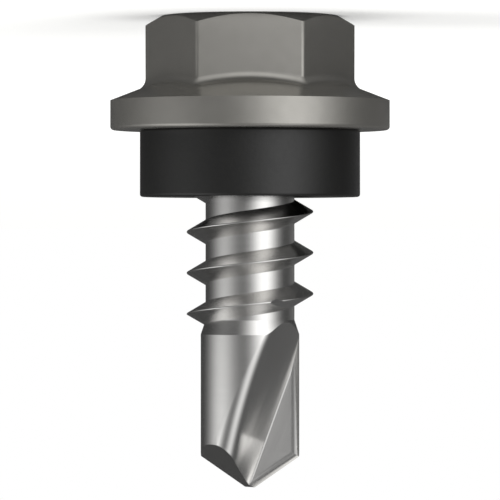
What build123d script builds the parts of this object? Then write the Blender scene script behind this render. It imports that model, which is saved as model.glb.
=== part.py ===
"""Self drilling hexagon flange screw with a rubber sealing washer, in millimetres.

The screw stands on the flat top of its head: z = 0 is that face, and +Z runs down the shank
to the drill point. The hexagon has its corners on the X axis. The thread is right handed.
"""

import os
from math import atan, cos, hypot, radians, sin, tan

from build123d import *

# Hexagon head
across_flats = 8.0
hexagon_corner_radius = 0.15
head_top_diameter = 7.72
head_chamfer_angle = 30.0

# Round flange under the hexagon
head_height = 5.0
flange_diameter = 12.25
flange_rim_height = 1.3
flange_cone_angle = 21.2
flange_edge_radius = 0.15
hexagon_root_radius = 0.5

# Sealing washer
seal_diameter = 9.65
seal_thickness = 2.93
seal_bore_clearance = 0.1

# Thread
major_diameter = 5.55
core_diameter = 3.9
pitch = 1.8
thread_angle = 60.0
crest_width = 0.05
first_crest_below_flange = 0.87
last_crest_above_neck = 0.25
runout_turns = 0.22
runout_depth_under_core = 0.075
thread_root_depth_in_core = 0.08

# Shank and drill point
length_under_head = 15.65
point_diameter = 4.32
point_length = 6.7
neck_length = 0.63
point_angle = 110.3
relief_angle = 29.0

# Two flutes of the drill point
web_thickness = 0.2
flute_length = 8.2
flute_slant = 19.85
flute_tip_offset = 0.045
flute_wall_lean = 35.3
flute_foot_width = 1.3
flute_foot_turn = 13.0
lobe_rounding = 0.65
lip_width = 0.39
lip_height = 0.17

# How far a cutting shape reaches past the metal, and how closely an edge is looked for
cut_margin = 1.0
edge_tolerance = 0.05

# Sizes worked out from the driving ones
core_radius = core_diameter / 2
major_radius = major_diameter / 2
point_radius = point_diameter / 2
flange_radius = flange_diameter / 2
head_top_radius = head_top_diameter / 2
hexagon_corner = across_flats / 2 / cos(radians(30))
rim_start = head_height - flange_rim_height
tip_height = head_height + length_under_head
point_start = tip_height - point_length
neck_start = point_start - neck_length
mid_neck = neck_start + neck_length / 2
mid_neck_radius = (core_radius + point_radius) / 2
web_face = web_thickness / 2
cutter_width = point_diameter + cut_margin


def flange_cone_height(radius):
    """Height of the flange's cone at a radius."""
    return rim_start - (flange_radius - radius) * tan(radians(flange_cone_angle))


def thread_section(crest_radius, height):
    """Corner points (radius, height) of one thread ridge, its root sunk in the core."""
    root_radius = core_radius - thread_root_depth_in_core
    half_crest = crest_width / 2
    half_root = half_crest + (crest_radius - root_radius) * tan(radians(thread_angle / 2))
    return [
        (root_radius, height - half_root),
        (crest_radius, height - half_crest),
        (crest_radius, height + half_crest),
        (root_radius, height + half_root),
    ]


def plane_through_axis(angle):
    """Upright plane through the screw's axis, its x direction turned by an angle about Z."""
    outward = (cos(radians(angle)), sin(radians(angle)), 0)
    across = (sin(radians(angle)), -cos(radians(angle)), 0)
    return Plane(origin=(0, 0, 0), x_dir=outward, z_dir=across)


def is_lobe_edge(edge):
    """Whether an edge runs up the point's round surface where a flute's wall leaves it."""
    middle = edge @ 0.5
    on_surface = hypot(middle.X, middle.Y) > point_radius - edge_tolerance
    clear_of_lip = abs(middle.Y) > lip_edge + edge_tolerance
    upright = edge.bounding_box().size.Z > point_length / 2
    return on_surface and clear_of_lip and upright


# Run-out of the thread: its crest sinks into the core over part of a turn
first_crest = head_height + first_crest_below_flange
last_crest = neck_start - last_crest_above_neck
thread_length = last_crest - first_crest
runout_length = runout_turns * pitch
faded_crest_radius = core_radius - runout_depth_under_core

with BuildPart() as runout:
    with BuildLine() as runout_path:
        Helix(pitch, runout_length, core_radius, center=(0, 0, last_crest))
    with BuildSketch(plane_through_axis(0)):
        with BuildLine():
            Polyline(*thread_section(major_radius, last_crest), close=True)
        make_face()
    with BuildSketch(plane_through_axis(360 * runout_turns)):
        with BuildLine():
            Polyline(*thread_section(faded_crest_radius, last_crest + runout_length), close=True)
        make_face()
    sweep(path=runout_path.line, multisection=True, is_frenet=True)

# Flute cutter: a slanted trough whose bottom line runs down towards the shank. One side is the
# flat rake face, and the other leans over and has a hollow foot
slant = radians(flute_slant)
wall_lean = radians(flute_wall_lean)
foot_lean = wall_lean + radians(flute_foot_turn) / 2
towards_tip = Vector(-sin(slant), 0, cos(slant))
bottom_line_at_tip = Vector(-flute_tip_offset, web_face, tip_height)
flute_start = Plane(
    origin=bottom_line_at_tip - towards_tip * flute_length,
    x_dir=(cos(slant), 0, sin(slant)),
    z_dir=towards_tip,
)
wall_direction = Vector(-sin(wall_lean), cos(wall_lean))
foot_end = Vector(-sin(foot_lean), cos(foot_lean)) * flute_foot_width
wall_end = foot_end + wall_direction * cutter_width

# Lips: narrow ribs with a hollow inner side, left standing on the rake face along the outer
# edge of the point and along the cutting edge
lip_turn = 2 * atan(lip_height / lip_width)
lip_radius = lip_width / sin(lip_turn)
lip_edge = web_face + lip_height
lip_hollow = (
    lip_radius * sin(lip_turn / 2) - lip_width,
    lip_radius * (1 - cos(lip_turn / 2)) + web_face,
)
point_slope = 1 / tan(radians(point_angle / 2))
relief_slope = tan(radians(relief_angle))
point_tilt = atan(point_slope)
outer_edge = Plane(origin=(point_radius, 0, point_start), x_dir=(1, 0, 0), z_dir=(0, 0, 1))
cutting_edge = Plane(
    origin=(0, 0, tip_height + lip_edge * relief_slope),
    x_dir=(sin(point_tilt), 0, cos(point_tilt)),
    z_dir=(-cos(point_tilt), 0, sin(point_tilt)),
)

with BuildPart() as flute:
    with BuildSketch(flute_start):
        with BuildLine():
            TangentArc((foot_end.X, foot_end.Y), (0, 0), tangent=wall_direction * -1)
            Polyline(
                (foot_end.X, foot_end.Y),
                (wall_end.X, wall_end.Y),
                (cutter_width, wall_end.Y),
                (cutter_width, 0),
                (0, 0),
            )
        make_face()
    extrude(amount=flute_length + cutter_width)
    for edge_plane in (outer_edge, cutting_edge):
        with BuildSketch(edge_plane):
            with BuildLine():
                ThreePointArc((-lip_width, web_face), lip_hollow, (0, lip_edge))
                Polyline(
                    (0, lip_edge),
                    (cutter_width, lip_edge),
                    (cutter_width, -web_face),
                    (-lip_width, -web_face),
                    (-lip_width, web_face),
                )
            make_face()
        extrude(amount=point_length + cutter_width, both=True, mode=Mode.SUBTRACT)

# Thread ridge: full turns, then the run-out, with the nick that the flutes leave in it
with BuildPart() as thread:
    with BuildLine() as thread_path:
        Helix(pitch, thread_length, core_radius, center=(0, 0, first_crest))
    with BuildSketch(plane_through_axis(0)):
        with BuildLine():
            Polyline(*thread_section(major_radius, first_crest), close=True)
        make_face()
    sweep(path=thread_path.line, is_frenet=True)
    add(runout.part.rotate(Axis.Z, 360 * thread_length / pitch))
    with PolarLocations(0, 2):
        add(flute.part, mode=Mode.SUBTRACT)

# Screw: hexagon, flange, shank, thread and drill point in one piece of steel
chamfer_end_radius = hexagon_corner + cut_margin
chamfer_depth = (chamfer_end_radius - head_top_radius) * tan(radians(head_chamfer_angle))

with BuildPart() as screw:
    # Hexagon, with the corners of its top turned off at an angle
    with BuildSketch():
        RegularPolygon(across_flats / 2, 6, major_radius=False)
        fillet(vertices(), hexagon_corner_radius)
    extrude(amount=rim_start)
    with BuildSketch(Plane.XZ):
        with BuildLine():
            Polyline(
                (0, 0),
                (head_top_radius, 0),
                (chamfer_end_radius, chamfer_depth),
                (chamfer_end_radius, rim_start),
                (0, rim_start),
                close=True,
            )
        make_face()
    revolve(mode=Mode.INTERSECT)

    # Flange, core of the shank and blank of the point. The point is left wide up to the middle
    # of the neck, so that the rounding of its lobes runs out inside the neck
    with BuildSketch(Plane.XZ):
        with BuildLine():
            Polyline(
                (0, flange_cone_height(core_radius)),
                (core_radius, flange_cone_height(core_radius)),
                (flange_radius, rim_start),
                (flange_radius, head_height),
                (core_radius, head_height),
                (core_radius, neck_start),
                (mid_neck_radius, mid_neck),
                (point_radius, mid_neck),
                (point_radius, tip_height + cut_margin),
                (0, tip_height + cut_margin),
                close=True,
            )
        make_face()
    revolve()
    underside = edges().filter_by_position(
        Axis.Z, head_height - edge_tolerance, head_height + edge_tolerance
    )
    fillet(underside.sort_by(SortBy.RADIUS)[-1], flange_edge_radius)
    hexagon_root = edges().filter_by_position(
        Axis.Z,
        flange_cone_height(across_flats / 2) - edge_tolerance,
        flange_cone_height(hexagon_corner) + edge_tolerance,
    )
    fillet(hexagon_root, hexagon_root_radius)

    # Flutes, with the edge that each one's wall leaves on the point well rounded
    with PolarLocations(0, 2):
        add(flute.part, mode=Mode.SUBTRACT)
    fillet(edges().filter_by(is_lobe_edge), lobe_rounding)

    # Upper half of the neck
    with BuildSketch(Plane.XZ):
        with BuildLine():
            Polyline(
                (mid_neck_radius, mid_neck),
                (point_radius, point_start),
                (major_radius, point_start),
                (major_radius, mid_neck),
                close=True,
            )
        make_face()
    revolve(mode=Mode.SUBTRACT)

    # Two relief faces, one behind each cutting edge, that meet in the chisel edge
    for side in (1, -1):
        relief_normal = Vector(side * point_slope, -side * relief_slope, 1)
        split(bisect_by=Plane(origin=(0, 0, tip_height), z_dir=relief_normal), keep=Keep.BOTTOM)

    add(thread.part)
screw.part.label = "screw"

with BuildPart() as seal_washer:
    with BuildSketch(Plane.XY.offset(head_height)):
        Circle(seal_diameter / 2)
        Circle(major_radius + seal_bore_clearance, mode=Mode.SUBTRACT)
    extrude(amount=seal_thickness)
seal_washer.part.label = "seal_washer"

os.makedirs("parts", exist_ok=True)
export_step(screw.part, "parts/screw.step")
export_step(seal_washer.part, "parts/seal_washer.step")
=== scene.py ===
# %% [markdown]
# # A self drilling screw with its sealing washer
#
# This lesson dresses a small steel fastener that drills its own hole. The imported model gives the
# frame: where each piece is and how large it is. Every new piece below is modelled in
# millimetres, as on a maker's drawing, and is scaled to metres when it is finished. Lengths are
# in millimetres and angles in radians, unless a comment says otherwise.

# %% Load the frame
from math import atan, atan2, cos, exp, hypot, pi, radians, sin, tan

import bmesh
import bpy
from mathutils import Matrix, Vector


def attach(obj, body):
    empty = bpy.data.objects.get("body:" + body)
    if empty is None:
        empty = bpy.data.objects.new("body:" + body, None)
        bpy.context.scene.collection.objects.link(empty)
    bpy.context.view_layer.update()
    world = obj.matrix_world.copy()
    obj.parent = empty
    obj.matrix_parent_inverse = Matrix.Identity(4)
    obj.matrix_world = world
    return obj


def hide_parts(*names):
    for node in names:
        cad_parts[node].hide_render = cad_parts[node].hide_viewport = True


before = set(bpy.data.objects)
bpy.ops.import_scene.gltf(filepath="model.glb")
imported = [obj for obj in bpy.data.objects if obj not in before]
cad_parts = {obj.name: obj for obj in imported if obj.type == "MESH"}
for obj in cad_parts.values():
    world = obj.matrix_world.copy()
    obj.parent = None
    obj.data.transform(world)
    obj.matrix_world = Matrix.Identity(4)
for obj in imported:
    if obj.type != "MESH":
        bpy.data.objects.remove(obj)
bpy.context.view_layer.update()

MM = 0.001

# %% [markdown]
# ## The camera
#
# The screw stands on the flat top of its head, and its picture shows it with the head up. The
# object could be turned over, but it has to stay in its frame, so the camera is rolled by half a
# turn instead. A long lens far away keeps the sides of the flange and of the shank nearly
# parallel, as in a catalogue picture.

# %% Place the camera
camera_distance = 196.9
camera_height = 10.257
camera_lens = 323.3
sensor_width = 36

camera_data = bpy.data.cameras.new("portrait_camera")
camera_data.lens = camera_lens
camera_data.sensor_width = sensor_width
camera_data.clip_start = MM
camera = bpy.data.objects.new("portrait_camera", camera_data)
camera.location = (0, -camera_distance * MM, camera_height * MM)
camera.rotation_euler = (pi / 2, pi, 0)
bpy.context.collection.objects.link(camera)
bpy.context.scene.camera = camera
print("camera at", tuple(round(c, 4) for c in camera.location))

# %% [markdown]
# ## Four finishes on one piece of steel
#
# The screw is one piece of steel that was worked in four ways: the head is dipped in a matt
# coating, the shank is turned smooth, the thread is rolled and the drill point is milled. The
# four materials are made first and filled in later, because a Boolean keeps the finish of each
# face only where both shapes already carry the same list of materials.

# %% Name the finishes
finishes = [
    bpy.data.materials.new(name)
    for name in ("zinc_flake_coating", "turned_zinc_plate", "rolled_zinc_plate", "milled_zinc_plate")
]
COATED, TURNED, ROLLED, MILLED = range(len(finishes))
print("finishes", [material.name for material in finishes])

# %% [markdown]
# ## Tools for turning, milling and joining
#
# In mesh code a screw comes from a turned blank, a few cutters and the Boolean modifier. A
# subdivision surface would need fewer faces, but it swells at edges, and a mirror-like metal
# shows every swelling. A Boolean keeps the faces of both shapes exact. The turned shapes have
# many sides for the same reason: bright steel shows every flat of a coarse cylinder.

# %% A closed piece from a bmesh
merge_distance = 1e-5


def placed(name, bm, materials):
    """Turns a bmesh into an object of the scene, with a list of materials."""
    mesh = bpy.data.meshes.new(name)
    bm.to_mesh(mesh)
    bm.free()
    for material in materials:
        mesh.materials.append(material)
    piece = bpy.data.objects.new(name, mesh)
    bpy.context.collection.objects.link(piece)
    return piece


def finish_mesh(name, bm, finish):
    """Makes a steel piece or a cutter from a closed bmesh, with one finish on every face."""
    bmesh.ops.remove_doubles(bm, verts=bm.verts, dist=merge_distance)
    bmesh.ops.recalc_face_normals(bm, faces=bm.faces)
    for face in bm.faces:
        face.material_index = finish
    return placed(name, bm, finishes)


def close_holes(bm):
    """Fills each open rim with one flat face."""
    rims = [edge for edge in bm.edges if edge.is_boundary]
    bmesh.ops.holes_fill(bm, edges=rims, sides=0)


# %% Look into a piece
def opened(piece):
    """The mesh of a piece as a bmesh, to measure or to work on."""
    bm = bmesh.new()
    bm.from_mesh(piece.data)
    return bm


def report(piece, step):
    """Prints what a step has made of a piece."""
    bm = opened(piece)
    volume = bm.calc_volume(signed=True)
    print(piece.name, step, len(bm.faces), "faces", round(volume, 2), "cubic millimetres")
    bm.free()


# %% Join and cut
def combine(piece, tool, operation):
    """Joins a tool to a piece or cuts it away, and removes the tool."""
    boolean = piece.modifiers.new("boolean", "BOOLEAN")
    boolean.operation = operation
    boolean.solver = "MANIFOLD"
    boolean.object = tool
    graph = bpy.context.evaluated_depsgraph_get()
    mesh = bpy.data.meshes.new_from_object(piece.evaluated_get(graph))
    piece.modifiers.clear()
    piece.data = mesh
    step = operation.lower() + " " + tool.name
    bpy.data.objects.remove(tool)
    report(piece, step)


# %% Round a corner or an edge
rounding_segments = 10
round_profile = 0.5


def round_over(bm, geom, offset, segments, affect):
    """Bevels corners or edges with an arc that begins at an offset from them."""
    bmesh.ops.bevel(
        bm, geom=geom, offset=offset, offset_type="OFFSET", segments=segments,
        profile=round_profile, affect=affect, material=-1,
    )


# %% A turned shape
round_steps = 384


def turned(name, corners, finish, rounded=()):
    """Spins a profile of (radius, height) corners about the axis and closes its ends.

    rounded gives the (corner number, radius) of the corners to round before the spin.
    """
    bm = bmesh.new()
    points = [bm.verts.new((radius, 0, height)) for radius, height in corners]
    for start, end in zip(points, points[1:]):
        bm.edges.new((start, end))
    for corner, radius in rounded:
        before, at, after = (Vector(corners[corner + step]) for step in (-1, 0, 1))
        turn = (at - before).angle(after - at)
        round_over(bm, [points[corner]], radius * tan(turn / 2), rounding_segments, "VERTICES")
    bmesh.ops.spin(
        bm, geom=bm.verts[:] + bm.edges[:], cent=(0, 0, 0), axis=(0, 0, 1),
        angle=2 * pi, steps=round_steps, use_merge=True,
    )
    bmesh.ops.remove_doubles(bm, verts=bm.verts, dist=merge_distance)
    close_holes(bm)
    return finish_mesh(name, bm, finish)


# %% A shape drawn flat and extruded
def prism(name, outline, origin, x_dir, z_dir, span):
    """Extrudes an outline along z_dir, over a span of it, as a tool for milling."""
    start, end = span
    x_axis, z_axis = Vector(x_dir), Vector(z_dir)
    y_axis = z_axis.cross(x_axis)
    plane = Matrix((x_axis, y_axis, z_axis)).transposed().to_4x4()
    plane.translation = Vector(origin)
    bm = bmesh.new()
    face = bm.faces.new([bm.verts.new((x, y, start)) for x, y in outline])
    extruded = bmesh.ops.extrude_face_region(bm, geom=[face], use_keep_orig=True)
    moved = [item for item in extruded["geom"] if isinstance(item, bmesh.types.BMVert)]
    bmesh.ops.translate(bm, verts=moved, vec=(0, 0, end - start))
    bmesh.ops.transform(bm, matrix=plane, verts=bm.verts)
    return finish_mesh(name, bm, MILLED)


def arc_points(centre, radius, start, end, steps):
    """Points along an arc of a circle, both ends included."""
    angles = [start + (end - start) * step / steps for step in range(steps + 1)]
    return [(centre[0] + radius * cos(a), centre[1] + radius * sin(a)) for a in angles]


# %% [markdown]
# ## The blank
#
# The wire is upset into a round flange under the head, and the shank below it stays round. One
# turned profile makes all of this: the flange's cone and rim, the core under the thread, the
# short cone of the neck and the wider drill point. The heights run from the flat top of the
# head, at zero, to the tip. The point is left longer by a spare length, and is ground to its
# angle later.

# %% Turn the blank
head_height = 5.0
flange_radius = 6.125
flange_rim_height = 1.3
flange_cone_angle = radians(21.2)
flange_edge_radius = 0.15
core_radius = 1.95
neck_start = 13.32
point_start = 13.95
point_radius = 2.16
tip_height = 20.65
spare_length = 1.0
rim_start = head_height - flange_rim_height


def flange_cone_height(radius):
    """Height of the flange's cone at a radius."""
    return rim_start - (flange_radius - radius) * tan(flange_cone_angle)


blank_profile = [
    (core_radius, flange_cone_height(core_radius)),
    (flange_radius, rim_start),
    (flange_radius, head_height),
    (core_radius, head_height),
    (core_radius, neck_start),
    (point_radius, point_start),
    (point_radius, tip_height + spare_length),
]
screw = turned("screw_dressed", blank_profile, TURNED, rounded=[(2, flange_edge_radius)])
report(screw, "turned blank")

# %% [markdown]
# ## The hexagon
#
# A driver turns the screw by six flats, eight millimetres apart. Their corners are slightly
# round, and the top is chamfered, because the metal doesn't quite fill the heading die. A prism
# with bevelled edges gives the corners. The chamfer is a cone, not a bevel: it cuts the flats in
# shallow arcs, and keeping only what lies inside a turned cone draws those arcs exactly.

# %% Make the six flats
flat_count = 6
across_flats = 8.0
hexagon_corner_radius = 0.2
corner_segments = 8
half_flat = pi / flat_count
hexagon_corner = across_flats / 2 / cos(half_flat)

bm = bmesh.new()
bmesh.ops.create_circle(bm, segments=flat_count, radius=hexagon_corner, cap_ends=True)
bmesh.ops.rotate(bm, verts=bm.verts, cent=(0, 0, 0), matrix=Matrix.Rotation(half_flat, 3, "Z"))
raised = bmesh.ops.extrude_face_region(bm, geom=bm.faces[:], use_keep_orig=True)["geom"]
top = [item for item in raised if isinstance(item, bmesh.types.BMVert)]
bmesh.ops.translate(bm, verts=top, vec=(0, 0, rim_start))
uprights = [e for e in bm.edges if abs(e.verts[0].co.z - e.verts[1].co.z) > rim_start / 2]
round_over(bm, uprights, hexagon_corner_radius * tan(half_flat), corner_segments, "EDGES")
hexagon = finish_mesh("hexagon", bm, COATED)
report(hexagon, "raised")

# %% Chamfer the hexagon and join it to the flange
head_top_radius = 3.86
head_chamfer_angle = radians(30)
die_radius = hexagon_corner + spare_length

die_profile = [
    (head_top_radius, 0),
    (die_radius, (die_radius - head_top_radius) * tan(head_chamfer_angle)),
    (die_radius, rim_start + spare_length),
]
combine(hexagon, turned("chamfer_die", die_profile, COATED), "INTERSECT")
combine(screw, hexagon, "UNION")

# %% [markdown]
# The hexagon runs out into the flange in a soft hollow, so that it doesn't break off there. The
# join above has left a sharp inner edge between the six flats and the cone. A bevel follows that
# edge all round and makes the hollow. Points that the join has left almost in one place are
# merged first, because a bevel tears between them.

# %% Round the hexagon's root
hexagon_root_radius = 0.5
least_fold = radians(40)
loose_merge = 1e-4
root_fold = pi / 2 - flange_cone_angle


def is_hexagon_root(edge):
    """Whether an edge is an inner fold between the hexagon and the flange's cone."""
    middle = (edge.verts[0].co + edge.verts[1].co) / 2
    on_hexagon = hypot(middle.x, middle.y) < hexagon_corner
    concave = edge.calc_face_angle_signed(0) < -least_fold
    return on_hexagon and concave and middle.z < rim_start


bm = opened(screw)
bmesh.ops.remove_doubles(bm, verts=bm.verts, dist=loose_merge)
root = [edge for edge in bm.edges if is_hexagon_root(edge)]
round_over(bm, root, hexagon_root_radius * tan(root_fold / 2), rounding_segments, "EDGES")
bm.to_mesh(screw.data)
bm.free()
report(screw, "with a root of " + str(len(root)) + " edges")

# %% [markdown]
# ## Two flutes
#
# The drill point has two slanted troughs that carry the chips away. One side of a trough is the
# flat rake face behind the cutting edge. The other side is hollow at its foot, and then rounds
# over into the outside of the point. A bevel can't round that outer edge, because the edge
# crosses hundreds of narrow facets, so the rounding belongs to the cutter. The cutter's outline
# is drawn level by level, and bridge_loops stretches its skin over the levels.

# %% The wall of a flute in section
web_face = 0.1
flute_slant = radians(19.85)
flute_tip_offset = 0.045
flute_wall_lean = radians(33.5)
flute_foot_width = 1.3
flute_foot_turn = radians(14.8)
foot_start_lean = flute_wall_lean + flute_foot_turn
foot_radius = flute_foot_width / 2 / sin(flute_foot_turn / 2)
foot_length = foot_radius * flute_foot_turn


def flute_corner(height):
    """X of the line where the rake face and the wall of the flute meet, on a level."""
    return (tip_height - height) * tan(flute_slant) - flute_tip_offset


def wall_at(along):
    """Point of the wall and its normal, in the flute's own section, by the way from its foot."""
    lean = flute_wall_lean + flute_foot_turn * max(1 - along / foot_length, 0)
    x = foot_radius * (cos(foot_start_lean) - cos(lean))
    y = foot_radius * (sin(foot_start_lean) - sin(lean))
    beyond = max(along - foot_length, 0)
    point = Vector((x - beyond * sin(lean), y + beyond * cos(lean)))
    return point, Vector((-cos(lean), -sin(lean)))


print("the foot of the wall has a radius of", round(foot_radius, 2))

# %% Where the rounding of the outer edge begins
# The rounding overshoots the round surface of the point by a hair, so that the cut goes through.
lobe_rounding = 0.65
overshoot = 0.004
section_stretch = 1 / cos(flute_slant)
search_range = (0.2, 4.0)
halvings = 40


def wall_on_level(along, height):
    """Point of the wall and its normal where a level cuts the slanted flute."""
    point, normal = wall_at(along)
    level_point = Vector((flute_corner(height) + point.x * section_stretch, web_face + point.y))
    level_normal = Vector((normal.x / section_stretch, normal.y)).normalized()
    return level_point, level_normal


def rounding_start(height):
    """How far along the wall the rounding begins, found by halving the interval."""
    target = point_radius - lobe_rounding + overshoot
    inner, outer = search_range
    for _ in range(halvings):
        along = (inner + outer) / 2
        point, normal = wall_on_level(along, height)
        if (point + normal * lobe_rounding).length < target:
            inner = along
        else:
            outer = along
    return along


print("the wall is", round(rounding_start(tip_height), 2), "wide at the tip")

# %% The outline of the flute cutter on one level
flute_root_radius = 0.15
root_steps = 5
wall_steps = 12
lobe_steps = 14
past_surface = radians(8)
cutter_reach = 4.5


def flute_outline(height):
    """Root, wall, rounded outer edge and two far corners that lie outside the metal."""
    point, normal = wall_on_level(0, height)
    wall_heading = atan2(-normal.x, normal.y)
    root_reach = flute_root_radius / tan(wall_heading / 2)
    root_centre = (flute_corner(height) + root_reach, web_face + flute_root_radius)
    outline = [(cutter_reach, web_face)]
    outline += arc_points(
        root_centre, flute_root_radius, 3 * pi / 2, wall_heading + pi / 2, root_steps
    )
    last = rounding_start(height)
    for step in range(1, wall_steps + 1):
        along = root_reach + (last - root_reach) * step / wall_steps
        outline.append(tuple(wall_on_level(along, height)[0]))
    point, normal = wall_on_level(last, height)
    centre = point + normal * lobe_rounding
    facing_wall = atan2(-normal.y, -normal.x)
    facing_out = atan2(centre.y, centre.x) + past_surface
    outline += arc_points(centre, lobe_rounding, facing_wall, facing_out, lobe_steps)[1:]
    outline.append((cutter_reach * cos(facing_out), cutter_reach * sin(facing_out)))
    outline.append((cutter_reach, cutter_reach))
    return outline


print("each outline has", len(flute_outline(tip_height)), "points")

# %% Skin the cutter
# The cutter begins in the neck and ends above the spare length of the blank.
level_count = 84
cutter_start = 13.36
past_blank = 0.5
cutter_height = tip_height + spare_length + past_blank - cutter_start

bm = bmesh.new()
rings = []
for level in range(level_count):
    height = cutter_start + cutter_height * level / (level_count - 1)
    ring = [bm.verts.new((x, y, height)) for x, y in flute_outline(height)]
    rings.append([bm.edges.new(pair) for pair in zip(ring, ring[1:] + ring[:1])])
for lower, upper in zip(rings, rings[1:]):
    bmesh.ops.bridge_loops(bm, edges=lower + upper)
close_holes(bm)
flute_cutter = finish_mesh("flute_cutter", bm, MILLED)
report(flute_cutter, "skinned")

# %% [markdown]
# A narrow raised lip is left along the outer edge of the rake face and along the cutting edge.
# It could be added to the screw, but then its ends would have to be fitted to the trough. Here
# the cutter loses the lip's shape first, and so leaves the lip standing by itself.

# %% Leave the lips standing
# Each rib is longer than its edge. The two overlap the cutter by different amounts, so that none
# of their outer sides fall together.
lip_width = 0.39
lip_height = 0.17
lip_steps = 10
outer_span = (12, 23)
outer_overlap = 0.1
cutting_span = (-9, 9)
cutting_overlap = 0.3
point_angle = radians(110.3)
relief_angle = radians(29)
point_slope = 1 / tan(point_angle / 2)
point_tilt = atan(point_slope)
relief_slope = tan(relief_angle)
lip_top = web_face + lip_height


def lip_outline(overlap):
    """A narrow rib with a hollow inner side, in the plane square to its edge."""
    turn = 2 * atan(lip_height / lip_width)
    radius = lip_width / sin(turn)
    hollow_centre = (-lip_width, web_face + radius)
    hollow = arc_points(hollow_centre, radius, -pi / 2, turn - pi / 2, lip_steps)
    beyond_edge = [(cutter_reach, lip_top + overlap), (cutter_reach, -web_face - overlap)]
    return hollow + beyond_edge + [(-lip_width, -web_face)]


outer_lip = prism(
    "outer_lip", lip_outline(outer_overlap), origin=(point_radius, 0, 0),
    x_dir=(1, 0, 0), z_dir=(0, 0, 1), span=outer_span,
)
cutting_lip = prism(
    "cutting_lip", lip_outline(cutting_overlap),
    origin=(0, 0, tip_height + lip_top * relief_slope),
    x_dir=(sin(point_tilt), 0, cos(point_tilt)), z_dir=(-cos(point_tilt), 0, sin(point_tilt)),
    span=cutting_span,
)
combine(flute_cutter, outer_lip, "DIFFERENCE")
combine(flute_cutter, cutting_lip, "DIFFERENCE")

# %% [markdown]
# The second flute is the first one turned by half a turn about the axis. After both cuts the
# point is ground behind each cutting edge. Each relief face is one flat plane, so bisect_plane
# cuts it, and the two planes meet at the tip in the short chisel edge.

# %% Mill both flutes
half_turn = Matrix.Rotation(pi, 4, "Z")
second_cutter = bpy.data.objects.new("second_cutter", flute_cutter.data.copy())
second_cutter.data.transform(half_turn)
bpy.context.collection.objects.link(second_cutter)
combine(screw, flute_cutter, "DIFFERENCE")
combine(screw, second_cutter, "DIFFERENCE")

# %% Grind the two relief faces
bm = opened(screw)
for side in (1, -1):
    bmesh.ops.bisect_plane(
        bm, geom=bm.verts[:] + bm.edges[:] + bm.faces[:], dist=merge_distance,
        plane_co=(0, 0, tip_height), plane_no=(side * point_slope, -side * relief_slope, 1),
        clear_outer=True,
    )
    close_holes(bm)
bm.to_mesh(screw.data)
bm.free()
report(screw, "ground")

# %% [markdown]
# ## The thread
#
# A rolled thread is a ridge that climbs one pitch each turn. The screw modifier could make it,
# but spin does it in one call: its dvec lifts each step a little, so one section becomes the
# whole helix. The ridge's root is sunk in the core. Its crest is just round enough to catch a
# thin line of light, and its last fifth of a turn shrinks into the core, as the rolling dies
# leave it.

# %% Roll the ridge
major_radius = 2.775
pitch = 1.8
flank_angle = radians(30)
first_crest = 5.87
last_crest = 13.07
runout_turns = 0.22
steps_per_turn = 288
crest_rounding = 0.0433
crest_steps = 6
sunk_depth = 0.08
ridge_root = core_radius - sunk_depth


def ridge_outline():
    """Corners of the ridge in section: its root, the small arc of its crest, and its root."""
    centre = major_radius - crest_rounding
    half_root = (major_radius + crest_rounding - ridge_root) * tan(flank_angle)
    half_arc = pi / 2 - flank_angle
    crest = arc_points((centre, 0), crest_rounding, -half_arc, half_arc, crest_steps)
    return [(ridge_root, -half_root)] + crest + [(ridge_root, half_root)]


turns = (last_crest - first_crest) / pitch + runout_turns
thread_bm = bmesh.new()
section = thread_bm.faces.new(
    [thread_bm.verts.new((radius, 0, first_crest + z)) for radius, z in ridge_outline()]
)
bmesh.ops.spin(
    thread_bm, geom=[section], cent=(0, 0, 0), axis=(0, 0, 1),
    dvec=(0, 0, pitch / steps_per_turn), angle=2 * pi * turns, steps=round(turns * steps_per_turn),
)
print("the ridge makes", round(turns, 2), "turns")

# %% Let the ridge run out
faded_crest_radius = 1.875
angle_slack = 0.01
runout_angle = 2 * pi * runout_turns
fading = (major_radius - faded_crest_radius) / (major_radius - ridge_root)

for vert in thread_bm.verts:
    angle = atan2(vert.co.y, vert.co.x) % (2 * pi)
    middle = last_crest + pitch * angle / (2 * pi)
    if angle < runout_angle + angle_slack and vert.co.z > middle - pitch / 2:
        shrink = 1 - angle / runout_angle * fading
        radius = hypot(vert.co.x, vert.co.y)
        scale = (ridge_root + (radius - ridge_root) * shrink) / radius
        vert.co = (vert.co.x * scale, vert.co.y * scale, middle + (vert.co.z - middle) * shrink)
close_holes(thread_bm)
ridge = finish_mesh("ridge", thread_bm, ROLLED)
report(ridge, "rolled")

# %% [markdown]
# The flutes are milled a little beyond the drill point, and leave a nick in the last turn of the
# ridge. The ridge is cut by two plain troughs, with a wall that runs straight out, before it
# joins the shank, so that the shank under it stays whole.

# %% Nick the ridge and join it to the shank
flute_length = 8.2


def trough_outline():
    """Outline of a flute in its own section, without the rounding of its outer edge."""
    wall = [tuple(wall_at(foot_length * step / wall_steps)[0]) for step in range(wall_steps + 1)]
    far = tuple(wall_at(2 * cutter_reach)[0])
    return wall + [far, (cutter_reach, far[1]), (cutter_reach, 0)]


towards_tip = Vector((-sin(flute_slant), 0, cos(flute_slant)))
trough_start = Vector((-flute_tip_offset, web_face, tip_height)) - towards_tip * flute_length
for side in (1, -1):
    trough = prism(
        "trough", trough_outline(), origin=trough_start,
        x_dir=(cos(flute_slant), 0, sin(flute_slant)), z_dir=towards_tip, span=(0, flute_length),
    )
    if side < 0:
        trough.data.transform(half_turn)
    combine(ridge, trough, "DIFFERENCE")
combine(screw, ridge, "UNION")

# %% [markdown]
# ## The sealing washer
#
# The washer is a moulded ring of black rubber that is pressed against the flange and keeps rain
# out of the hole. Its rims are a little round, as a mould leaves them, and its bore clears the
# thread. It could be bevelled after the spin, but rounding the flat profile is quicker and gives
# evenly long faces.

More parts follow.
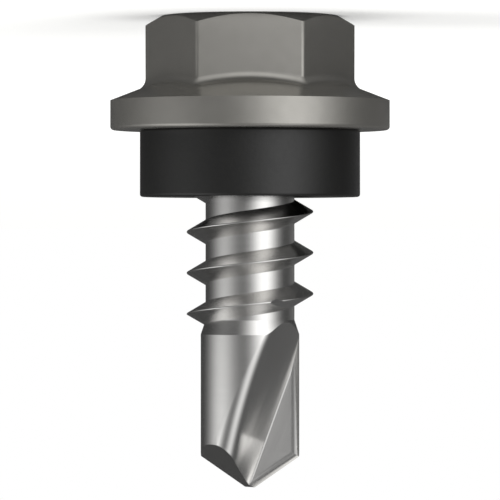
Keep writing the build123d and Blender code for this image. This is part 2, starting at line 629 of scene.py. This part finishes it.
# %% Turn the washer
# It gets its rubber further down, in place of the steel's finishes.
seal_radius = 4.825
seal_thickness = 2.93
seal_bore_radius = 2.875
seal_rim_radius = 0.12
seal_end = head_height + seal_thickness

seal_profile = [
    (seal_bore_radius, head_height),
    (seal_radius, head_height),
    (seal_radius, seal_end),
    (seal_bore_radius, seal_end),
    (seal_bore_radius, head_height),
]
seal = turned(
    "seal_washer_dressed", seal_profile, COATED,
    rounded=[(corner, seal_rim_radius) for corner in (1, 2, 3)],
)
report(seal, "moulded")

# %% [markdown]
# ## Shading the pieces
#
# Folds of more than a few degrees are real edges and stay crisp. All others are facets of one
# round surface and are shaded smooth. Plain smooth shading would bend the flats of the hexagon
# near their corners. Weighted normals lean on the large faces, so a flat stays flat up to its
# rounded edge.

# %% Set the crisp edges and go to metres
crisp_angle = radians(14)
level_slack = 0.01
head_end = head_height + level_slack


def shade(piece):
    """Shades a piece and scales its mesh from millimetres to metres."""
    mesh = piece.data
    mesh.polygons.foreach_set("use_smooth", [True] * len(mesh.polygons))
    mesh.set_sharp_from_angle(angle=crisp_angle)
    weighted = piece.modifiers.new("weighted", "WEIGHTED_NORMAL")
    weighted.mode = "FACE_AREA"
    weighted.keep_sharp = True
    graph = bpy.context.evaluated_depsgraph_get()
    piece.data = bpy.data.meshes.new_from_object(piece.evaluated_get(graph))
    piece.modifiers.clear()
    piece.data.transform(Matrix.Scale(MM, 4))
    size = [round(side / MM, 2) for side in piece.dimensions]
    print(piece.name, len(piece.data.vertices), "vertices, size", size)


for face in screw.data.polygons:
    if face.center.z < head_end:
        face.material_index = COATED
shade(screw)
shade(seal)

# %% [markdown]
# ## Tools for materials
#
# A few small functions serve every material. One turns a colour from a picture's sRGB to the
# linear values that a shader works in. One adds a node, sets it and fills its sockets. Others
# lay a pattern out by the real distance between its features: object coordinates are in metres,
# so the mapping divides them by that distance.

# %% Colours and nodes
def linear(hex_colour):
    """Linear RGBA of an sRGB colour such as C8C7C4, by the curve of the sRGB standard."""
    values = [int(hex_colour[i:i + 2], 16) / 255 for i in (0, 2, 4)]
    return [v / 12.92 if v <= 0.04045 else ((v + 0.055) / 1.055) ** 2.4 for v in values] + [1]


def add(tree, kind, sockets=None, **settings):
    """Adds a shader node. A socket gets a value, or a link where an output is given."""
    node = tree.nodes.new("ShaderNode" + kind)
    for name, value in settings.items():
        setattr(node, name, value)
    for name, value in (sockets or {}).items():
        if isinstance(value, bpy.types.NodeSocket):
            tree.links.new(value, node.inputs[name])
        else:
            node.inputs[name].default_value = value
    return node


def empty_tree(owner):
    """The node tree of a material or a world, with nothing in it."""
    owner.use_nodes = True
    owner.node_tree.nodes.clear()
    return owner.node_tree


print("mid grey", [round(v, 3) for v in linear("808080")])

# %% Patterns of real size
plain_detail = 2.0
noise_low = 0.3
noise_high = 0.7


def spaced(tree, vector, x, y, z):
    """A pattern vector whose features are so many millimetres apart along each axis."""
    scale = (1 / (x * MM), 1 / (y * MM), 1 / (z * MM))
    return add(tree, "Mapping", {"Vector": vector, "Scale": scale}).outputs["Vector"]


def noise(tree, vector, detail=plain_detail):
    """A noise whose features are one unit of its vector apart."""
    node = add(tree, "TexNoise", {"Vector": vector, "Scale": 1.0, "Detail": detail})
    return node.outputs["Fac"]


def clouds(tree, where, size, detail=plain_detail):
    """A noise with features of one size in every direction."""
    return noise(tree, spaced(tree, where, size, size, size), detail)


def tone_between(tree, value, first, second):
    """A colour between two sRGB tones."""
    return add(tree, "Mix", {
        "Factor": value, "A": linear(first), "B": linear(second),
    }, data_type="RGBA").outputs["Result"]


def embossed(tree, height, depth):
    """Normals bent by a relief of that depth."""
    return add(tree, "Bump", {
        "Height": height, "Strength": 1.0, "Distance": depth * MM,
    }).outputs["Normal"]


def spread(tree, value, low, high):
    """Lays the middle of a noise over a range of roughness."""
    return add(tree, "MapRange", {
        "Value": value, "From Min": noise_low, "From Max": noise_high,
        "To Min": low, "To Max": high,
    }).outputs["Result"]


def end_in_surface(tree, sockets):
    """Ends a tree in one surface, such as a metal or a rubber."""
    layer = add(tree, "BsdfPrincipled", sockets)
    add(tree, "OutputMaterial", {"Surface": layer.outputs["BSDF"]})


print("patterns use noise from", noise_low, "to", noise_high)

# %% [markdown]
# ## Zinc plated steel
#
# The shank, thread and point are electroplated with a few thousandths of a millimetre of zinc.
# The plate is a bright metal that hides nothing: the marks of the lathe, the rolling dies and the
# milling cutter show through it. To the eye it gives clear reflections, drawn out a little
# across the marks. One function makes the metal, and the direction of the marks is given to it,
# because that is all that differs between the three ways of working.

# %% The plated metal
plate_dark = "DFDEDC"
plate_light = "EBEAE8"
plate_clouds = 1.7
mark_detail = 3.0
roughness_play = 0.02


def zinc_plated_steel(material, marks_vector, roughness, depth):
    """Bright plate over marks. marks_vector is a function that lays the marks out."""
    tree = empty_tree(material)
    where = add(tree, "TexCoord").outputs["Object"]
    marks = noise(tree, marks_vector(tree, where), mark_detail)
    tone = tone_between(tree, clouds(tree, where, plate_clouds), plate_dark, plate_light)
    blur = spread(tree, marks, roughness - roughness_play, roughness + roughness_play)
    end_in_surface(tree, {
        "Base Color": tone, "Metallic": 1.0, "Roughness": blur,
        "Normal": embossed(tree, marks, depth),
    })
    print(material.name, "with", len(tree.nodes), "nodes")


# %% Turned shank
# Drawing and turning leave rings a few hundredths of a millimetre apart. They are too fine to
# show in the picture, so they are drawn 0.14 mm apart.
ring_spacing = 0.14
ring_length = 6.7
ring_depth = 0.00025
turned_roughness = 0.21


def lathe_rings(tree, where):
    """Marks that run round the axis, one above the other."""
    return spaced(tree, where, ring_length, ring_length, ring_spacing)


zinc_plated_steel(finishes[TURNED], lathe_rings, turned_roughness, ring_depth)

# %% Rolled thread
# The dies leave fine streaks along the ridge. Real ones are a few hundredths of a millimetre
# apart and are drawn 0.11 mm apart to show. They follow the helix: the height is lessened by
# the climb of the thread at each angle, so a streak keeps its distance from the crest.
streak_spacing = 0.11
streak_length = 6.7
streak_depth = 0.0005
rolled_roughness = 0.24


def helix_streaks(tree, where):
    """Marks that climb with the thread."""
    xyz = add(tree, "SeparateXYZ", {"Vector": where})
    around = add(tree, "CombineXYZ", {"X": xyz.outputs["X"], "Y": xyz.outputs["Y"]})
    radius = add(tree, "VectorMath", {0: around.outputs["Vector"]}, operation="LENGTH")
    turn = add(tree, "Math", {0: xyz.outputs["Y"], 1: xyz.outputs["X"]}, operation="ARCTAN2")
    climb = add(tree, "Math", {
        0: turn.outputs[0], 1: -pitch * MM / (2 * pi), 2: xyz.outputs["Z"],
    }, operation="MULTIPLY_ADD")
    vector = add(tree, "CombineXYZ", {
        "X": xyz.outputs["X"], "Y": radius.outputs["Value"], "Z": climb.outputs[0],
    })
    return spaced(tree, vector.outputs["Vector"], streak_length, streak_spacing, streak_spacing)


zinc_plated_steel(finishes[ROLLED], helix_streaks, rolled_roughness, streak_depth)

# %% Milled drill point
# The cutter's marks run along the flutes, so the pattern leans with their slant. Real ones are
# about 0.02 mm apart and are drawn 0.17 mm apart.
mill_spacing = 0.17
mill_length = 3.3
mill_depth = 0.00012
milled_roughness = 0.2


def flute_marks(tree, where):
    """Marks that run along the slanted flutes."""
    lean = add(tree, "Mapping", {"Vector": where, "Rotation": (0, -flute_slant, 0)})
    return spaced(tree, lean.outputs["Vector"], mill_spacing, mill_spacing, mill_length)


zinc_plated_steel(finishes[MILLED], flute_marks, milled_roughness, mill_depth)

# %% [markdown]
# ## Zinc flake coating
#
# The head wears a thicker coat against the weather: flakes of zinc and aluminium in a grey
# binder, dipped and baked. To the eye it is a dull grey metal. The flakes lie at all angles and
# blur the reflections, the binder takes part of the shine away, and the coat has the faint
# waviness of a baked film.

# %% Coat the head
# A flake is about 0.01 mm long. That is far too fine to show, so the cloudy tone that many
# flakes make together is drawn 0.45 mm apart. The film's waves are about 0.6 mm apart.
flake_spacing = 0.45
flake_detail = 0.0
flake_dark = "9D9B96"
flake_light = "A3A19C"
flake_share = 0.8
film_wave = 0.625
film_wave_depth = 0.0008
film_roughness = (0.235, 0.27)

tree = empty_tree(finishes[COATED])
where = add(tree, "TexCoord").outputs["Object"]
flakes = clouds(tree, where, flake_spacing, flake_detail)
film = clouds(tree, where, film_wave)
end_in_surface(tree, {
    "Base Color": tone_between(tree, flakes, flake_dark, flake_light),
    "Metallic": flake_share,
    "Roughness": spread(tree, film, *film_roughness),
    "Normal": embossed(tree, film, film_wave_depth),
})
print("coat with", len(tree.nodes), "nodes")

# %% [markdown]
# ## Moulded rubber
#
# The washer is EPDM, a rubber that stands sun and rain. Carbon black makes it nearly black
# throughout, and it takes the satin skin of its polished mould. To the eye that gives a soft
# sheen along its side over a fine grain, and a slight bloom where the tone is a little greyer.

# %% Colour the washer
# The grain of such a mould is about 0.05 mm wide. It is drawn 0.2 mm wide to show at all.
grain_width = 0.2
grain_detail = 3.0
grain_depth = 0.004
bloom_size = 2.0
rubber_dark = "151515"
rubber_light = "1B1B1A"
rubber_roughness = (0.29, 0.35)
rubber_refraction = 1.52

rubber = bpy.data.materials.new("moulded_epdm_rubber")
tree = empty_tree(rubber)
where = add(tree, "TexCoord").outputs["Object"]
grain = clouds(tree, where, grain_width, grain_detail)
bloom = clouds(tree, where, bloom_size)
end_in_surface(tree, {
    "Base Color": tone_between(tree, bloom, rubber_dark, rubber_light),
    "IOR": rubber_refraction,
    "Roughness": spread(tree, grain, *rubber_roughness),
    "Normal": embossed(tree, grain, grain_depth),
})
seal.data.materials.clear()
seal.data.materials.append(rubber)
print("rubber with", len(tree.nodes), "nodes")

# %% [markdown]
# ## Tie the pieces to the frame
#
# Nothing moves on this screw, so both pieces ride on its one body. Each is listed with the solid
# of the imported model that it was shaped after and stands for, and with the name of a slot.

# %% Ride and replace
for piece, node, slot in (
    (screw, "screw", "zinc_plated_steel"),
    (seal, "seal_washer", "seal_rubber"),
):
    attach(piece, "root")
    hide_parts(node)
    print(piece.name, "replaces", node)

# %% [markdown]
# ## A paper tent for bright metal
#
# Bright metal shows the room more than itself. Small bright parts are therefore photographed in
# a tent of paper that is lit from outside, with a slot for the lens. The reflections are the
# soft bright spots on the paper. An image of a studio would do the same, but a ramp over the
# angle from the lens needs no file, and each spot can be set in degrees: a round shaft shows a
# spot at half its angle. Only reflections see the tent. The lamps and the room light do the rest.

# %% Soft spots on the paper
# Each spot is (angle from the lens, width, peak), in degrees, with positive angles to the
# picture's right. A colour ramp can hold 32 stops.
paper_back = 0.055
key_spots = [(31, 17, 1.5), (50, 12, 0.6), (66, 14, 0.3), (150, 22, 0.12)]
fill_spots = [(-70, 24, 0.82), (-15, 20, 0.05)]
side_spots = [(105, 16, 0.05)]
low_key_spots = [(32, 25, 1.6)]
low_fill_spots = [(-68, 22, 0.13)]
near_spots = [(6, 28, 1.0), (10, 60, 0.2)]
stop_count = 32


def light_at(angle, spots):
    """Light of the soft spots at an angle from the lens, in degrees."""
    light = 0
    for centre, width, peak in spots:
        away = (angle - centre + 180) % 360 - 180
        light += peak * exp(-(away / width) ** 2 / 2)
    return light


print("paper at 30 degrees", round(light_at(30, key_spots), 2))


# %% Paper lit in three sets of spots
def end_in_glow(material, strength):
    """Ends a tree in plain light. Reflections find it by themselves, so it isn't sampled."""
    tree = material.node_tree
    glow = add(tree, "Emission", {"Strength": strength})
    add(tree, "OutputMaterial", {"Surface": glow.outputs["Emission"]})
    material.cycles.emission_sampling = "NONE"


def lit_paper(name, spots, distance, fades):
    """Paper with three sets of spots, one in each channel of a ramp over the angle.

    distance is a function that gives the way along which the light fades. Each set is
    multiplied by all the fades of its own list.
    """
    material = bpy.data.materials.new(name)
    tree = empty_tree(material)
    xyz = add(tree, "SeparateXYZ", {"Vector": add(tree, "TexCoord").outputs["Object"]})
    turn = add(tree, "Math", {0: xyz.outputs["X"], 1: xyz.outputs["Y"]}, operation="ARCTAN2")
    share = add(tree, "MapRange", {"Value": turn.outputs[0], "From Min": -pi, "From Max": pi})
    ramp = add(tree, "ValToRGB", {"Fac": share.outputs["Result"]})
    stops = ramp.color_ramp.elements
    while len(stops) < stop_count:
        stops.new(len(stops) / stop_count)
    for number, stop in enumerate(stops):
        stop.position = number / (stop_count - 1)
        stop.color = [light_at(360 * stop.position, part) for part in spots] + [1]
    parts = add(tree, "SeparateColor", {"Color": ramp.outputs["Color"]})
    total = paper_back
    for channel, part_fades in zip(("Red", "Green", "Blue"), fades):
        light = parts.outputs[channel]
        for start, end, before, after in part_fades:
            fade = add(tree, "MapRange", {
                "Value": distance(tree, xyz), "From Min": start * MM, "From Max": end * MM,
                "To Min": before, "To Max": after,
            }, interpolation_type="SMOOTHSTEP").outputs["Result"]
            light = add(tree, "Math", {0: light, 1: fade}, operation="MULTIPLY").outputs[0]
        total = add(tree, "Math", {0: light, 1: total}).outputs[0]
    end_in_glow(material, total)
    return material


# %% Paper on the wall, the ground and the ceiling
# Each fade is (start, end, before, after): two distances in millimetres, and the share of light
# at each. The key light weakens up the wall. Close to the head the ground has one broad soft ring
# of its own, which lights the flange's cone.
wall_fades = [[(-20, 60, 1, 0.45)], [(8, 30, 0.5, 1.2)], [(25, 70, 0, 1)]]
beyond_ring = (11, 18, 0, 1)
ground_fades = [[beyond_ring], [beyond_ring], [(4.5, 6.5, 0, 1), (7, 16, 1, 0)]]
ceiling_light = 0.17


def by_height(tree, xyz):
    """The height above the ground."""
    return xyz.outputs["Z"]


def from_axis(tree, xyz):
    """The distance from the screw's axis."""
    flat = add(tree, "CombineXYZ", {"X": xyz.outputs["X"], "Y": xyz.outputs["Y"]})
    return add(tree, "VectorMath", {0: flat.outputs["Vector"]}, operation="LENGTH").outputs["Value"]


wall_paper = lit_paper(
    "lit_paper_wall", (key_spots, fill_spots, side_spots), by_height, wall_fades
)
ground_paper = lit_paper(
    "lit_paper_ground", (low_key_spots, low_fill_spots, near_spots), from_axis, ground_fades
)
ceiling_paper = bpy.data.materials.new("lit_paper_ceiling")
empty_tree(ceiling_paper)
end_in_glow(ceiling_paper, ceiling_light)
print("papers", wall_paper.name, ground_paper.name, ceiling_paper.name)

# %% Fold the tent
tent_radius = 150
tent_height = 300
tent_sides = 96
tent_clearance = 0.002
WALL, GROUND, CEILING = range(3)
paper_facing = {-1: GROUND, 0: WALL, 1: CEILING}

bm = bmesh.new()
bmesh.ops.create_cone(
    bm, cap_ends=True, segments=tent_sides, radius1=tent_radius, radius2=tent_radius,
    depth=tent_height,
)
bmesh.ops.translate(bm, verts=bm.verts, vec=(0, 0, tent_height / 2 - tent_clearance))
bmesh.ops.scale(bm, verts=bm.verts, vec=(MM, MM, MM))
for face in bm.faces:
    face.material_index = paper_facing[round(face.normal.z)]
tent = placed("paper_tent", bm, (wall_paper, ground_paper, ceiling_paper))
tent.visible_camera = False
tent.visible_diffuse = False
tent.visible_shadow = False
tent.visible_transmission = False
print("tent", [round(side / MM) for side in tent.dimensions])

# %% [markdown]
# ## The floor and the background
#
# The picture has a white background. More light would make the floor white, but it would also
# bleach the object. The floor is a pale matt paper instead, and where the lens sees it, Light
# Path lets it add what its own light misses to white. Close to the screw it adds less, so the
# soft shadow of the head stays.

# %% A switch for what the lens sees
def seen_directly(tree):
    """1 for rays that show the background to the lens, straight or off a shiny surface."""
    path = add(tree, "LightPath")
    shiny = add(tree, "Math", {
        0: path.outputs["Is Glossy Ray"], 1: path.outputs["Is Transmission Ray"],
    }, operation="MAXIMUM")
    return add(tree, "Math", {
        0: path.outputs["Is Camera Ray"], 1: shiny.outputs[0],
    }, operation="MAXIMUM").outputs[0]


# %% Lay the floor
# It lies just under the head, and is wide enough to fill every view from above it.
room_light = 0.5
floor_tone = "E6E6E4"
floor_radius = 2000
floor_sides = 64
floor_drop = 0.004
shadow_reach = (12, 80)
lift_in_shadow = 0.28
lift_beyond = 1 - room_light * linear(floor_tone)[0]

pale_paper = bpy.data.materials.new("pale_matt_paper")
tree = empty_tree(pale_paper)
matt = add(tree, "BsdfDiffuse", {"Color": linear(floor_tone)})
xyz = add(tree, "SeparateXYZ", {"Vector": add(tree, "TexCoord").outputs["Object"]})
missing = add(tree, "MapRange", {
    "Value": from_axis(tree, xyz), "From Min": shadow_reach[0] * MM,
    "From Max": shadow_reach[1] * MM, "To Min": lift_in_shadow, "To Max": lift_beyond,
}, interpolation_type="SMOOTHSTEP")
seen = add(tree, "Math", {0: seen_directly(tree), 1: missing.outputs[0]}, operation="MULTIPLY")
lift = add(tree, "Emission", {"Strength": seen.outputs[0]})
both = add(tree, "AddShader", {0: matt.outputs[0], 1: lift.outputs[0]})
add(tree, "OutputMaterial", {"Surface": both.outputs[0]})
pale_paper.cycles.emission_sampling = "NONE"

bm = bmesh.new()
bmesh.ops.create_circle(bm, cap_ends=True, segments=floor_sides, radius=floor_radius * MM)
bmesh.ops.translate(bm, verts=bm.verts, vec=(0, 0, -floor_drop * MM))
floor = placed("floor", bm, [pale_paper])
print("floor lifted by", lift_in_shadow, "near the screw and", round(lift_beyond, 2), "far off")

# %% [markdown]
# ## The lamps
#
# Three large soft lamps light what isn't a mirror: the rubber, the matt part of the coat and the
# floor. They are hidden from reflections, where the tent stands for them, so no bright square
# shows on the steel. Their light is set so that a colour renders about as it is written.

# %% Hang three softboxes
# Each is (name, angle from the lens, angle above the ground, size, watts). The two angles are in
# degrees.
softboxes = [
    ("key_softbox", 28, 25, 150, 0.28),
    ("fill_softbox", -68, 20, 150, 0.35),
    ("overhead_softbox", 0, 90, 200, 0.12),
]
lamp_distance = 250
aim_height = 10


def softbox(name, angle, elevation, size, energy):
    """A square lamp that shines on the screw. Angles are as for the paper tent."""
    data = bpy.data.lights.new(name, "AREA")
    data.size = size * MM
    data.energy = energy
    lamp = bpy.data.objects.new(name, data)
    along = radians(angle)
    up = radians(elevation)
    towards = Vector((-sin(along) * cos(up), -cos(along) * cos(up), sin(up)))
    lamp.location = towards * lamp_distance * MM + Vector((0, 0, aim_height * MM))
    lamp.rotation_euler = towards.to_track_quat("Z", "Y").to_euler()
    lamp.visible_glossy = False
    bpy.context.collection.objects.link(lamp)
    print(name, energy, "W")


for values in softboxes:
    softbox(*values)

# %% Light the room
world = bpy.data.worlds.new("studio")
bpy.context.scene.world = world
tree = empty_tree(world)
level = add(tree, "MapRange", {"Value": seen_directly(tree), "To Min": room_light, "To Max": 1.0})
back = add(tree, "Background", {"Color": linear("FFFFFF"), "Strength": level.outputs["Result"]})
add(tree, "OutputWorld", {"Surface": back.outputs["Background"]})
bpy.context.scene.view_settings.view_transform = "Standard"
print("room light", room_light)
